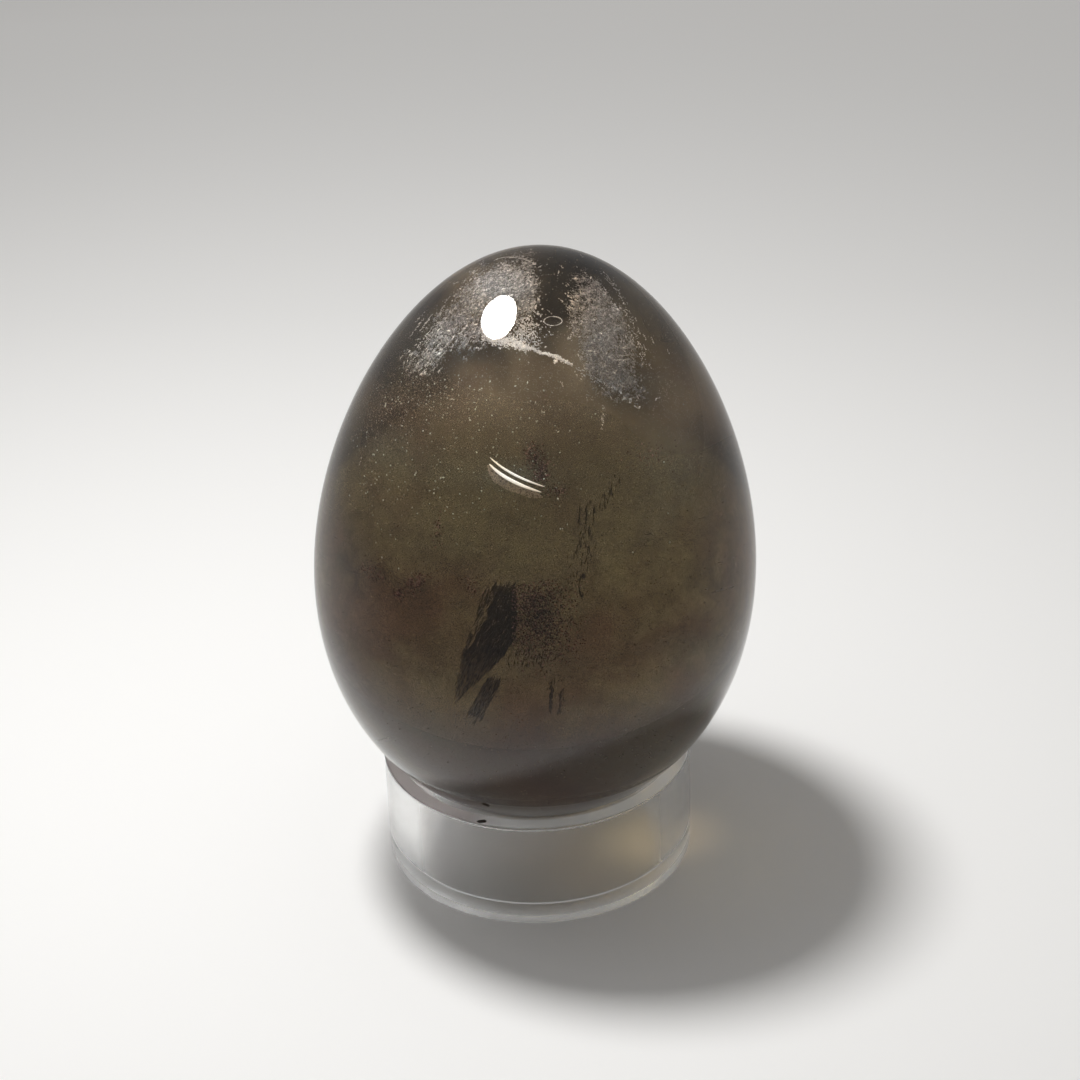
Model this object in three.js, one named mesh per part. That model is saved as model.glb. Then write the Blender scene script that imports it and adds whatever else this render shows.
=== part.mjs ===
import * as THREE from 'three';

// A polished stone egg standing blunt end down in a clear ring.
// Millimetres, +Z up. The origin is on the surface that the ring stands on,
// at the middle of the ring.

// The egg, a solid of revolution about its own long axis.
const eggHeight = 56;
const eggWidth = 41.5;
const bellyHeight = 24.2; // widest section, above the blunt tip
const eggLean = THREE.MathUtils.degToRad(3.2); // towards +X

// The stand, a short length cut from thick clear tube.
const standDiameter = 30;
const standWall = 3;
const standHeight = 11;
const seatBevel = 1.6; // on the bore's top edge, which carries the egg
const footBevel = 1; // on the bore's bottom edge
const edgeBreak = 0.2; // on both outer edges

// How the egg lies in its seat.
const seatGap = 0.3; // between the egg and the seat bevel, square to the egg
const seatDrift = 0.2; // how far the egg has settled to the leaning side

// Smoothness of the two solids.
const eggRings = 36;
const eggSegments = 80;
const standSegments = 96;

const boreRadius = standDiameter / 2 - standWall;
const seatRadius = boreRadius + seatBevel;

// The egg's outline runs over an angle from 0 at the pointed tip to PI at the
// blunt tip. Its height follows a cosine. Its radius is a sine, drawn in towards
// the pointed tip by the taper, so that it peaks at the belly.
const eggHalf = eggHeight / 2;
const bellyCosine = (bellyHeight - eggHalf) / eggHalf;
const taper = bellyCosine / (2 * bellyCosine ** 2 - 1);
const bellyAngle = Math.acos(bellyCosine);
const girth = eggWidth / 2 / (Math.sin(bellyAngle) * (1 - taper * bellyCosine));

function outlinePoint(angle) {
  const radius = girth * Math.sin(angle) * (1 - taper * Math.cos(angle));
  return new THREE.Vector2(radius, eggHalf * Math.cos(angle));
}

function outlineNormal(angle) {
  const radiusRate = girth * (Math.cos(angle) - taper * Math.cos(2 * angle));
  const heightRate = -eggHalf * Math.sin(angle);
  return new THREE.Vector2(-heightRate, radiusRate).normalize();
}

// The point that lies the seat gap outside the outline.
function clearPoint(angle) {
  return outlinePoint(angle).addScaledVector(outlineNormal(angle), seatGap);
}

// The angle where a measure that falls on the way from the belly to the blunt
// tip passes zero, found by halving the span that holds it until it can't be
// halved again.
function angleWhereZero(measure) {
  let bellySide = bellyAngle;
  let tipSide = Math.PI;
  let middle = (bellySide + tipSide) / 2;
  while (middle > bellySide && middle < tipSide) {
    if (measure(middle) > 0) bellySide = middle;
    else tipSide = middle;
    middle = (bellySide + tipSide) / 2;
  }
  return middle;
}

// The egg touches the seat bevel where its own slope is the bevel's, 1 in 1, or
// at the bevel's nearer edge where that place lies past it.
const evenAngle = angleWhereZero((angle) => outlineNormal(angle).x + outlineNormal(angle).y);
const touchRadius = THREE.MathUtils.clamp(clearPoint(evenAngle).x, boreRadius, seatRadius);
const seatAngle = angleWhereZero((angle) => clearPoint(angle).x - touchRadius);
const eggMiddle = standHeight - (seatRadius - touchRadius) - clearPoint(seatAngle).y;

// The egg leans about the point on its axis where the lines square to its
// surface at the seat meet, so its gap to the seat stays even all round.
const seatNormal = outlineNormal(seatAngle);
const seatPoint = outlinePoint(seatAngle);
const leanCentre = seatPoint.y - seatPoint.x * seatNormal.y / seatNormal.x;

function latheUpright(profile, segments) {
  const geometry = new THREE.LatheGeometry(profile, segments);
  geometry.rotateX(Math.PI / 2);
  return geometry;
}

function makeEgg() {
  const profile = [];
  for (let ring = 0; ring <= eggRings; ring += 1) {
    profile.push(outlinePoint(Math.PI * (1 - ring / eggRings)));
  }
  profile[0].x = 0;
  profile[eggRings].x = 0;
  const smokyQuartz = new THREE.MeshStandardMaterial({
    color: 0x4b422f,
    roughness: 0.06,
    metalness: 0,
  });
  const egg = new THREE.Mesh(latheUpright(profile, eggSegments), smokyQuartz);
  egg.name = 'quartz_egg';
  return egg;
}

function makeStand() {
  const outer = standDiameter / 2;
  const profile = [
    new THREE.Vector2(boreRadius + footBevel, 0),
    new THREE.Vector2(outer - edgeBreak, 0),
    new THREE.Vector2(outer, edgeBreak),
    new THREE.Vector2(outer, standHeight - edgeBreak),
    new THREE.Vector2(outer - edgeBreak, standHeight),
    new THREE.Vector2(seatRadius, standHeight),
    new THREE.Vector2(boreRadius, standHeight - seatBevel),
    new THREE.Vector2(boreRadius, footBevel),
  ];
  profile.push(profile[0].clone());
  const clearAcrylic = new THREE.MeshStandardMaterial({
    color: 0xe4e6e6,
    roughness: 0.08,
    metalness: 0,
    transparent: true,
    opacity: 0.35,
  });
  const stand = new THREE.Mesh(latheUpright(profile, standSegments), clearAcrylic);
  stand.name = 'ring_stand';
  return stand;
}

const group = new THREE.Group();
group.add(makeStand());

const leaningSeat = new THREE.Group();
leaningSeat.position.set(seatDrift, 0, eggMiddle + leanCentre);
leaningSeat.rotation.y = eggLean;
const egg = makeEgg();
egg.position.z = -leanCentre;
leaningSeat.add(egg);
group.add(leaningSeat);

export default group;
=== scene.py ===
"""A polished smoky quartz egg, standing blunt end down in a clear acrylic ring."""
import math

import bpy
import numpy as np
from mathutils import Matrix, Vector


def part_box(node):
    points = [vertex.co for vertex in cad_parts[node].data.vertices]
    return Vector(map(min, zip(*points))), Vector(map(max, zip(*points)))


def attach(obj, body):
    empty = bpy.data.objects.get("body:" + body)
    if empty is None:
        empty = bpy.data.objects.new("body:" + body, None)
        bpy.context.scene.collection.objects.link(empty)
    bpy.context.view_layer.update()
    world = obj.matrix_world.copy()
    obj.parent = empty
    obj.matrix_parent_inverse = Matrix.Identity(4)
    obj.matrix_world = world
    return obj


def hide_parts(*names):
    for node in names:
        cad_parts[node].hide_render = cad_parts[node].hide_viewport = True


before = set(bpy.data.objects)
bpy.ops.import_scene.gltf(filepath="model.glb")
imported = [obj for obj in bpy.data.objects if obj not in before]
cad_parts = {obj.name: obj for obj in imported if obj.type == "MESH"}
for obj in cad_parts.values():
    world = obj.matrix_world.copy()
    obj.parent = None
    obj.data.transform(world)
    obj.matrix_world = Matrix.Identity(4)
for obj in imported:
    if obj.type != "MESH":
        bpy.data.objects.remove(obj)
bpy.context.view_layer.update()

# The camera. The object was photographed from in front and above, from about a
# hand's length away with a long lens, and the picture leans slightly. Its place
# was worked out from the ring's two outer edges and the egg's outline.
PHOTO_SIDE = 1080  # pixels
FOCAL = 2400  # pixels
SENSOR = 36  # millimetres
LOOKS_DOWN = 0.49956  # radians
ROLL = -0.03753
DISTANCE = 0.22486
NEAREST = 0.01  # nothing nearer to the lens is shown
AIM = np.array([0.00103, 0.0, 0.033231])


def placement(across, rising, backward, place):
    """The matrix of an object with those three axes, at that place."""
    return Matrix(np.vstack([
        np.stack([across, rising, backward, place], 1), [0, 0, 0, 1],
    ]).tolist())


ahead = np.array([0.0, math.cos(LOOKS_DOWN), -math.sin(LOOKS_DOWN)])
level = np.array([1.0, 0.0, 0.0])
upright = np.cross(level, ahead)
picture_right = math.cos(ROLL) * level + math.sin(ROLL) * upright
picture_up = math.cos(ROLL) * upright - math.sin(ROLL) * level
eye = AIM - DISTANCE * ahead

lens = bpy.data.cameras.new("photo_lens")
lens.sensor_width = SENSOR
lens.lens = FOCAL / PHOTO_SIDE * SENSOR
lens.clip_start = NEAREST
camera = bpy.data.objects.new("photo_camera", lens)
camera.matrix_world = placement(picture_right, picture_up, -ahead, eye)
bpy.context.scene.collection.objects.link(camera)
bpy.context.scene.camera = camera

# The ring, a short length cut from thick clear acrylic tube. Its outer wall is
# glossy, its bore and seat bevel are a little dull, and its sawn ends are satin.
# It stands loose on its foot. Its sawn foot glows faintly with painted light, and
# painted shade, a painted reflection of the dark stone, darkens the left of its
# top face and bore.
RING_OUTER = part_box("ring_stand")[1].x
RING_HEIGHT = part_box("ring_stand")[1].z
RING_WALL = 0.003
RING_BORE = RING_OUTER - RING_WALL
SEAT_BEVEL = 0.0016
FOOT_BEVEL = 0.001
EDGE_ROUND = 0.0002
HOLD = 0.00005  # from an arc to the point that keeps the side next to it flat
ACRYLIC_IOR = 1.49
BORE_HAZE = 0.2  # how rough the bore is
SEAT_DULL = 0.2  # how rough the seat bevel is
SATIN = 0.35  # how rough the sawn ends and the foot bevel are
# painted light: the sawn foot glows faintly, standing in for the light that it scatters
FOOT_GLOW = 0.08  # the light that the sawn foot scatters
CLEAR = (0.99, 0.995, 0.99, 1)
# painted shade on the left of the top face and bore, for the stone's dark reflection
PAINTED_STONE_SHADE = (0.3, 0.25, 0.24, 1)
TOP_SHADED_FROM = 0.15  # the cosine, from due left, at which the shade starts
BORE_SHADED_FROM = 0.5
SHADE_RISE = 0.3  # how much more of the cosine brings it to its full
BORE_SHADE = 0.5  # the share of it that the bore takes
ARC_STEPS = 5
RING_TURNS = 384


def rounded_profile(corners, rounding):
    """A closed outline of radius and height, with every corner turned into an arc.

    Each arc starts and ends where the two straight sides touch it. One more point
    is held on each side next to it, so that the sides shade flat."""
    points = []
    for before, corner, after in zip(np.roll(corners, 1, 0), corners, np.roll(corners, -1, 0)):
        into = (corner - before) / np.linalg.norm(corner - before)
        out = (after - corner) / np.linalg.norm(after - corner)
        turn = math.acos(np.clip(into @ out, -1, 1))
        reach = rounding * math.tan(turn / 2)
        start, end = corner - reach * into, corner + reach * out
        bulge = (out - into) / np.linalg.norm(out - into)
        centre = corner + bulge * rounding / math.cos(turn / 2)
        share = np.linspace(0, 1, ARC_STEPS)[:, None]
        chord = start + share * (end - start) - centre
        arc = centre + rounding * chord / np.linalg.norm(chord, axis=1, keepdims=True)
        points.append(np.vstack([start - HOLD * into, arc, end + HOLD * out]))
    return np.vstack(points)


def once_round(steps):
    """Equal steps of an angle, from 0 once round."""
    return np.arange(steps) * (2 * np.pi / steps)


def numbered(rows, turns):
    """The numbers of a grid's points, and of the next point round for each of them."""
    here = np.arange(rows)[:, None] * turns + np.arange(turns)
    return here, np.roll(here, -1, 1)


def revolve(profile, turns):
    """Points and faces of a closed outline carried round the Z axis.

    A point of the outline at radius r and height z goes to (r cos a, r sin a, z)
    for equal steps of the angle a, and the last step joins the first."""
    angle = once_round(turns)
    radius, height = profile.T
    grid = np.stack(np.broadcast_arrays(
        radius[:, None] * np.cos(angle), radius[:, None] * np.sin(angle), height[:, None],
    ), -1)
    here, after = numbered(len(profile), turns)
    faces = np.stack([here, after, np.roll(after, -1, 0), np.roll(here, -1, 0)], -1)
    return grid.reshape(-1, 3), faces.reshape(-1, 4)


def new_piece(name, points, faces, material, body, slot):
    """One smooth mesh object in the frame of the model, riding on a body."""
    mesh = bpy.data.meshes.new(name)
    mesh.from_pydata(np.asarray(points).tolist(), [], [list(map(int, face)) for face in faces])
    mesh.polygons.foreach_set("use_smooth", np.ones(len(mesh.polygons), bool))
    mesh.materials.append(material)
    piece = bpy.data.objects.new(name, mesh)
    bpy.context.scene.collection.objects.link(piece)
    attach(piece, body)
    return piece


def carry(piece, name, values):
    """Give each point of a mesh a value of its own under a name."""
    piece.data.attributes.new(name, "FLOAT", "POINT").data.foreach_set(
        "value", np.ravel(values).astype(np.float32))


def new_material(name, **constants):
    """A material with one Principled shader, whose sockets get the given constants."""
    material = bpy.data.materials.new(name)
    material.use_nodes = True
    shader = material.node_tree.nodes["Principled BSDF"]
    for socket, value in constants.items():
        shader.inputs[socket.replace("_", " ")].default_value = value
    return material, material.node_tree, shader


def attribute(tree, name):
    """The value that the mesh carries under a name."""
    place = tree.nodes.new("ShaderNodeAttribute")
    place.attribute_name = name
    return place.outputs["Fac"]


def blend(tree, share, start, end):
    """A colour between two, each of them a constant or a socket."""
    mix = tree.nodes.new("ShaderNodeMix")
    mix.data_type = "RGBA"
    tree.links.new(share, mix.inputs["Factor"])
    for side, colour in (("A", start), ("B", end)):
        if isinstance(colour, tuple):
            mix.inputs[side].default_value = colour
        else:
            tree.links.new(colour, mix.inputs[side])
    return mix.outputs["Result"]


def acrylic_material():
    """Clear acrylic. The mesh says how dull each place is, where painted light makes the foot glow and
    where painted shade darkens the left side.
    """
    material, tree, shader = new_material(
        "clear_acrylic_tube", Transmission_Weight=1, IOR=ACRYLIC_IOR, Emission_Strength=1.0)
    tree.links.new(blend(tree, attribute(tree, "shade"), CLEAR, PAINTED_STONE_SHADE), shader.inputs["Base Color"])
    tree.links.new(attribute(tree, "painted_foot_glow"), shader.inputs["Emission Color"])
    tree.links.new(attribute(tree, "dullness"), shader.inputs["Roughness"])
    return material


ring_outline = rounded_profile(np.array([
    (RING_BORE + FOOT_BEVEL, 0), (RING_OUTER, 0), (RING_OUTER, RING_HEIGHT),
    (RING_BORE + SEAT_BEVEL, RING_HEIGHT), (RING_BORE, RING_HEIGHT - SEAT_BEVEL),
    (RING_BORE, FOOT_BEVEL),
]), EDGE_ROUND)
ring_points, ring_faces = revolve(ring_outline, RING_TURNS)
ring = new_piece("clear_ring", ring_points, ring_faces, acrylic_material(), "stand", "clear_acrylic")
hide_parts("ring_stand")

radius, height = ring_outline.T
outer_wall, bore = (np.abs(radius - side) < EDGE_ROUND / 4 for side in (RING_OUTER, RING_BORE))
foot = height < EDGE_ROUND / 2
top = (height > RING_HEIGHT - SEAT_BEVEL) & ~outer_wall
seat = (radius < RING_BORE + SEAT_BEVEL) & (height > RING_HEIGHT / 2) & ~bore
leftward = -np.cos(once_round(RING_TURNS))
# The painted shade, darkest on the left of the top face and, half as strong, the bore.
top_shade, bore_shade = (
    np.clip((leftward - start) / SHADE_RISE, 0, 1) for start in (TOP_SHADED_FROM, BORE_SHADED_FROM))
# The sawn foot's painted glow.
carry(ring, "painted_foot_glow", np.repeat(FOOT_GLOW * foot, RING_TURNS))
carry(ring, "shade", top_shade * top[:, None] + BORE_SHADE * bore_shade * bore[:, None])
carry(ring, "dullness", np.repeat(
    np.select([outer_wall, bore, seat], [0, BORE_HAZE, SEAT_DULL], SATIN), RING_TURNS))

# The sharp inner edge at the ring's foot, where the sawn bevel meets the bore. It
# is ground white and glows faintly with painted light, so it shows as a fine pale
# line through the outer wall.
ARRIS_MIDDLE = np.array([0.00013, 0.00012])  # from the edge, into the acrylic
ARRIS_HALF = 0.0001
ARRIS_SIDES = 8
ARRIS_WHITE = (0.95, 0.95, 0.95, 1)
ARRIS_LIGHT = (1, 1, 1, 1)
ARRIS_GLOW = 0.1

arris_turns = once_round(ARRIS_SIDES)
arris_outline = np.stack([np.cos(arris_turns), np.sin(arris_turns)], 1) * ARRIS_HALF + (
    RING_BORE, FOOT_BEVEL) + ARRIS_MIDDLE
arris_material = new_material(
    "ground_edge_painted_glow", Base_Color=ARRIS_WHITE, Roughness=0.8, Emission_Color=ARRIS_LIGHT,
    Emission_Strength=ARRIS_GLOW)[0]
new_piece("foot_edge", *revolve(arris_outline, RING_TURNS), arris_material, "stand", "clear_acrylic")

# A dark fleck caught on the front of the ring's top edge, a crumb a third of a
# millimetre high that is stuck there.
FLECK_MIDDLE = (-0.0054, -0.0136, 0.01105)
FLECK_HALVES = np.array([0.0005, 0.0003, 0.00016])
FLECK_SHAPE = np.array([  # a top, six corners round it and a bottom, as shares of the halves
    (0, 0, 1), (1, 0, 0), (0.6, 0.9, 0.1), (-0.5, 0.8, 0), (-1, 0, 0.1), (-0.4, -0.9, 0),
    (0.7, -0.8, 0.1), (0, 0, -1),
])
FLECK_BROWN = (0.02, 0.013, 0.008, 1)

round_fleck = [(corner, corner % 6 + 1) for corner in range(1, 7)]
fleck_faces = [(0, a, b) for a, b in round_fleck] + [(7, b, a) for a, b in round_fleck]
fleck_material = new_material("dark_fleck", Base_Color=FLECK_BROWN, Roughness=0.6)[0]
new_piece("seat_fleck", FLECK_SHAPE * FLECK_HALVES + FLECK_MIDDLE, fleck_faces, fleck_material,
          "stand", "clear_acrylic")

# The egg, one piece of smoky quartz ground to shape and polished all over. It
# stands on its blunt end, leans a little to the right and is held only by its
# own weight in the bevel of the ring.
EGG_HEIGHT = 0.056
EGG_WIDTH = 0.0415
BELLY_HEIGHT = 0.0242
EGG_LEAN = math.radians(3.2)
EGG_RINGS = 190
EGG_TURNS = 380
QUARTZ_IOR = 1.544
QUARTZ_CLEARNESS = 0.985
OLIVE_TINT = (0.76, 0.55, 0.35, 1)
BROWN_TINT = (0.37, 0.158, 0.122, 1)
DARK_AND_SHADE_TINT = (0.07, 0.035, 0.025, 1)
MILK_AND_LIGHT = (0.9, 0.88, 0.87, 1)
SMOKE = (0.243, 0.257, 0.1, 1)
SMOKE_DENSITY = 69
NOISE_DETAIL = 4
NOISE_DISTORTION = 0.4
NOISE_MIDDLE = (0.35, 0.65)  # the part of the raw noise that runs from Least to Most
BROWN_NOISE = {"Scale": 160, "Least": -0.3, "Most": 0.4}
DARK_NOISE = {"Scale": 420, "Least": -0.16, "Most": 0.24}
MILKY_NOISE = {"Scale": 900, "Least": 0.6, "Most": 1.0}
BROWN_SPOTS = (  # pixels right and down, reach both ways, and strength
    (345, 600, 45, 120, 0.8), (430, 600, 60, 45, 0.6), (600, 650, 100, 60, 0.75),
    (735, 540, 55, 130, 0.9), (400, 420, 40, 50, 0.3), (520, 790, 150, 60, 0.6),
    (520, 690, 150, 60, 0.45), (385, 620, 55, 60, 0.4), (530, 755, 130, 40, 0.3),
)
# Partly darker smoke, partly painted shade that darkens the stone's sides, top and lower left edge.
DARK_AND_PAINTED_SHADE_SPOTS = (
    (350, 560, 30, 30, 0.25), (415, 588, 14, 10, 0.3), (537, 462, 13, 20, 0.35),
    (540, 615, 40, 30, 0.3), (690, 600, 60, 60, 0.15), (325, 560, 36, 180, 0.35),
    (748, 560, 40, 180, 0.5), (700, 620, 50, 90, 0.3), (372, 565, 30, 26, 0.35),
    (405, 625, 45, 50, 0.15), (600, 278, 40, 28, 0.7), (560, 258, 110, 14, 0.5),
    (434, 296, 36, 32, 0.85), (478, 260, 36, 12, 0.5), (385, 372, 26, 28, 0.5),
    (650, 276, 40, 22, 0.5), (695, 340, 30, 40, 0.5), (402, 304, 24, 24, 0.6),
    (465, 532, 45, 40, 0.14), (598, 575, 52, 28, 0.16), (465, 620, 30, 18, 0.15),
    (462, 800, 44, 16, 0.8), (515, 775, 40, 14, 0.2),
)
# Partly milky quartz, partly painted light that lightens places in shade.
MILKY_AND_PAINTED_LIGHT_SPOTS = (
    (500, 288, 32, 22, 0.7), (445, 338, 40, 26, 0.6), (608, 330, 30, 50, 0.6),
    (622, 385, 24, 16, 0.4), (530, 345, 40, 12, 0.5), (515, 475, 28, 10, 0.7),
    (430, 360, 26, 18, 0.5), (684, 455, 34, 60, 0.65), (530, 385, 110, 40, 0.2),
    (500, 670, 130, 22, 0.2), (620, 765, 55, 28, 0.6), (655, 745, 40, 22, 0.6),
    (575, 768, 50, 16, 0.5), (556, 328, 18, 10, 0.35), (476, 352, 24, 10, 0.6),
    (594, 350, 20, 26, 0.3), (652, 392, 24, 22, 0.4), (394, 440, 36, 20, 0.3),
    (655, 515, 22, 50, 0.2), (675, 650, 36, 18, 0.25), (440, 680, 30, 14, 0.2),
)

egg_half = EGG_HEIGHT / 2
belly_cosine = (BELLY_HEIGHT - egg_half) / egg_half
taper = belly_cosine / (2 * belly_cosine ** 2 - 1)
girth = EGG_WIDTH / 2 / (math.sin(math.acos(belly_cosine)) * (1 - taper * belly_cosine))
lean = np.array([
    [math.cos(EGG_LEAN), 0, math.sin(EGG_LEAN)],
    [0, 1, 0],
    [-math.sin(EGG_LEAN), 0, math.cos(EGG_LEAN)],
])


def egg_surface(rings, turns):
    """The egg about its own middle, its long axis along Z.

    With t from 0 at the pointed tip to pi at the blunt one, the height is half the
    length times cos t, and the radius is the girth times sin t times (1 - taper cos t)."""
    t = np.linspace(0, np.pi, rings + 1)[1:-1, None]
    angle = once_round(turns)
    radius = girth * np.sin(t) * (1 - taper * np.cos(t))
    grid = np.stack(np.broadcast_arrays(
        radius * np.cos(angle), radius * np.sin(angle), egg_half * np.cos(t),
    ), -1).reshape(-1, 3)
    points = np.vstack([grid, [(0, 0, egg_half), (0, 0, -egg_half)]])
    here, after = numbered(rings - 1, turns)
    sides = np.stack([here[:-1], here[1:], after[1:], after[:-1]], -1).reshape(-1, 4)
    top, bottom = len(grid), len(grid) + 1
    caps = [(top, a, b) for a, b in zip(here[0], after[0])]
    caps += [(bottom, b, a) for a, b in zip(here[-1], after[-1])]
    return points, sides.tolist() + caps


def picture_place(points):
    """Where points show in the photograph, in pixels right and down from its corner."""
    sight = points - eye
    aside = np.stack([sight @ picture_right, -(sight @ picture_up)], -1)
    return PHOTO_SIDE / 2 + FOCAL * aside / (sight @ ahead)[:, None]


def cloudiness(places, spots):
    """The sum of soft ovals, each a bell curve of the place's distance from its middle.

    A spot gives the middle, the reach both ways and the strength, the first four
    in the photograph's pixels."""
    middle, reach, strength = np.split(np.array(spots, float), (2, 4), 1)
    distance = (((places[:, None] - middle) / reach) ** 2).sum(-1)
    return np.clip(np.exp(-distance) @ strength[:, 0], 0, 1)


def paint(piece, places, clouds):
    """Give each point of a mesh the strength of each kind of cloud at its place in the picture."""
    for name, spots in clouds.items():
        carry(piece, name, cloudiness(places, spots))


def new_group(name, inputs, output, kind):
    """A node group with named inputs and one output, all numbers or all colours."""
    group = bpy.data.node_groups.new(name, "ShaderNodeTree")
    for socket in inputs:
        group.interface.new_socket(socket, in_out="INPUT", socket_type=kind)
    group.interface.new_socket(output, in_out="OUTPUT", socket_type=kind)
    return group, group.nodes.new("NodeGroupInput"), group.nodes.new("NodeGroupOutput")


def noise_group():
    """Smooth noise in the object's own space, from Least to Most."""
    group, given, result = new_group(
        "stone_noise", ("Scale", "Least", "Most"), "Noise", "NodeSocketFloat")
    where, cloud = group.nodes.new("ShaderNodeTexCoord"), group.nodes.new("ShaderNodeTexNoise")
    cloud.inputs["Detail"].default_value = NOISE_DETAIL
    cloud.inputs["Distortion"].default_value = NOISE_DISTORTION
    ranged = group.nodes.new("ShaderNodeMapRange")
    ranged.inputs["From Min"].default_value, ranged.inputs["From Max"].default_value = NOISE_MIDDLE
    group.links.new(where.outputs["Object"], cloud.inputs["Vector"])
    group.links.new(given.outputs["Scale"], cloud.inputs["Scale"])
    group.links.new(cloud.outputs["Fac"], ranged.inputs["Value"])
    group.links.new(given.outputs["Least"], ranged.inputs["To Min"])
    group.links.new(given.outputs["Most"], ranged.inputs["To Max"])
    group.links.new(ranged.outputs["Result"], result.inputs["Noise"])
    return group


def placed(tree, group, values):
    """The output of a node group that is placed in a material with its own values."""
    node = tree.nodes.new("ShaderNodeGroup")
    node.node_tree = group
    for socket, value in values.items():
        node.inputs[socket].default_value = value
    return node.outputs[0]


def together(tree, operation, first, second):
    """One Math node on two sockets, kept from 0 to 1."""
    step = tree.nodes.new("ShaderNodeMath")
    step.operation = operation
    step.use_clamp = True
    tree.links.new(first, step.inputs[0])
    tree.links.new(second, step.inputs[1])
    return step.outputs[0]


def let_through(tree, share):
    """Let a share of the light straight through the surface, whose shader stays as it is."""
    output = tree.nodes["Material Output"].inputs["Surface"]
    opening, skin = tree.nodes.new("ShaderNodeBsdfTransparent"), tree.nodes.new("ShaderNodeMixShader")
    tree.links.new(share, skin.inputs["Fac"])
    tree.links.new(tree.nodes["Principled BSDF"].outputs["BSDF"], skin.inputs[1])
    tree.links.new(opening.outputs["BSDF"], skin.inputs[2])
    tree.links.new(skin.outputs["Shader"], output)


def quartz_material():
    """Polished smoky quartz, olive, broken up by brown, dark and milky patches and by noise.
    The dark and milky patches are partly its own colour, partly painted shade and painted light.

    Lamps reach the flaws inside as they are seen, but not what lies behind the stone."""
    material, tree, shader = new_material(
        "smoky_quartz", Transmission_Weight=QUARTZ_CLEARNESS, IOR=QUARTZ_IOR, Roughness=0.0)
    nodes, links = tree.nodes, tree.links
    brown = together(tree, "ADD", attribute(tree, "brown"), placed(tree, stone_noise, BROWN_NOISE))
    dark = together(tree, "ADD", attribute(tree, "dark"), placed(tree, stone_noise, DARK_NOISE))
    milk = together(tree, "MULTIPLY", attribute(tree, "milky"), placed(tree, stone_noise, MILKY_NOISE))
    tint = blend(tree, dark, blend(tree, brown, OLIVE_TINT, BROWN_TINT), DARK_AND_SHADE_TINT)
    links.new(blend(tree, milk, tint, MILK_AND_LIGHT), shader.inputs["Base Color"])
    smoke = nodes.new("ShaderNodeVolumeAbsorption")
    smoke.inputs["Color"].default_value = SMOKE
    smoke.inputs["Density"].default_value = SMOKE_DENSITY
    links.new(smoke.outputs["Volume"], nodes["Material Output"].inputs["Volume"])

    rays, side = nodes.new("ShaderNodeLightPath"), nodes.new("ShaderNodeNewGeometry")
    leaving = together(tree, "MULTIPLY", rays.outputs["Is Shadow Ray"], side.outputs["Backfacing"])
    let_through(tree, together(tree, "SUBTRACT", leaving, rays.outputs["Diffuse Depth"]))
    return material


stone_noise = noise_group()
egg_points, egg_faces = egg_surface(EGG_RINGS, EGG_TURNS)
egg_points = egg_points @ lean.T
egg_low, egg_high = (np.array(corner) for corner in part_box("quartz_egg"))
egg_middle = (egg_low + egg_high) / 2 - (egg_points.min(0) + egg_points.max(0)) / 2
egg_points += egg_middle
egg = new_piece("smoky_egg", egg_points, egg_faces, quartz_material(), "egg", "smoky_quartz")
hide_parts("quartz_egg")
# The brown patches are colour; the dark and milky ones are partly painted shade and painted light.
paint(egg, picture_place(egg_points), {"brown": BROWN_SPOTS, "dark": DARK_AND_PAINTED_SHADE_SPOTS, "milky": MILKY_AND_PAINTED_LIGHT_SPOTS})

# The upper half of the stone is cloudy inside. The polished surface spreads what
# is seen of that cloud over the whole stone, so it shows no edge of its own.
HEART_SHARE = 0.8  # of the egg's size
HEART_RINGS = 100
HEART_TURNS = 200
HEART_SPREAD = 1.15  # how much larger the stone shows it
HEART_GLOW = 0.06  # light of its own, for what is scattered in the stone more than once
HEART_OLIVE = (0.22, 0.19, 0.15, 1)
HEART_BROWN = (0.17, 0.12, 0.095, 1)
# The colours of its painted shade and its painted light.
HEART_SHADE = (0.016, 0.016, 0.016, 1)
HEART_PAINTED_LIGHT = (0.42, 0.36, 0.29, 1)
THICK_SPOTS = ((530, 270, 250, 160, 0.95), (690, 400, 60, 55, 0.6))
# Painted shade, darkening the heart at its top and sides.
PAINTED_SHADE_SPOTS = (
    (555, 250, 170, 60, 1.0), (405, 325, 48, 48, 0.9), (655, 295, 48, 48, 0.8),
    (350, 410, 36, 60, 0.45), (710, 350, 26, 40, 0.4), (375, 560, 40, 40, 0.5),
    (556, 296, 24, 20, 0.5), (398, 366, 24, 22, 0.4),
)
# Painted light, lightening the heart where it lies in shade.
PAINTED_LIGHT_SPOTS = (
    (545, 385, 120, 36, 0.42), (685, 435, 50, 60, 0.9), (620, 410, 50, 40, 0.1),
    (500, 290, 30, 20, 0.3), (610, 345, 30, 44, 0.5), (476, 352, 26, 12, 0.8),
)


def heart_material():
    """Cloudy smoke: olive, with brown patches, dark patches of painted shade and pale patches of
    painted light, thick where the mesh says so.
    """
    material, tree, shader = new_material(
        "smoke", Roughness=1.0, Specular_IOR_Level=0.0, Emission_Strength=HEART_GLOW)
    brown = together(tree, "ADD", attribute(tree, "brown"), placed(tree, stone_noise, BROWN_NOISE))
    colour = blend(tree, brown, HEART_OLIVE, HEART_BROWN)
    colour = blend(tree, attribute(tree, "dark"), colour, HEART_SHADE)
    colour = blend(tree, attribute(tree, "pale"), colour, HEART_PAINTED_LIGHT)
    tree.links.new(colour, shader.inputs["Base Color"])
    tree.links.new(colour, shader.inputs["Emission Color"])
    tree.links.new(attribute(tree, "thick"), shader.inputs["Alpha"])
    return material


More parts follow.
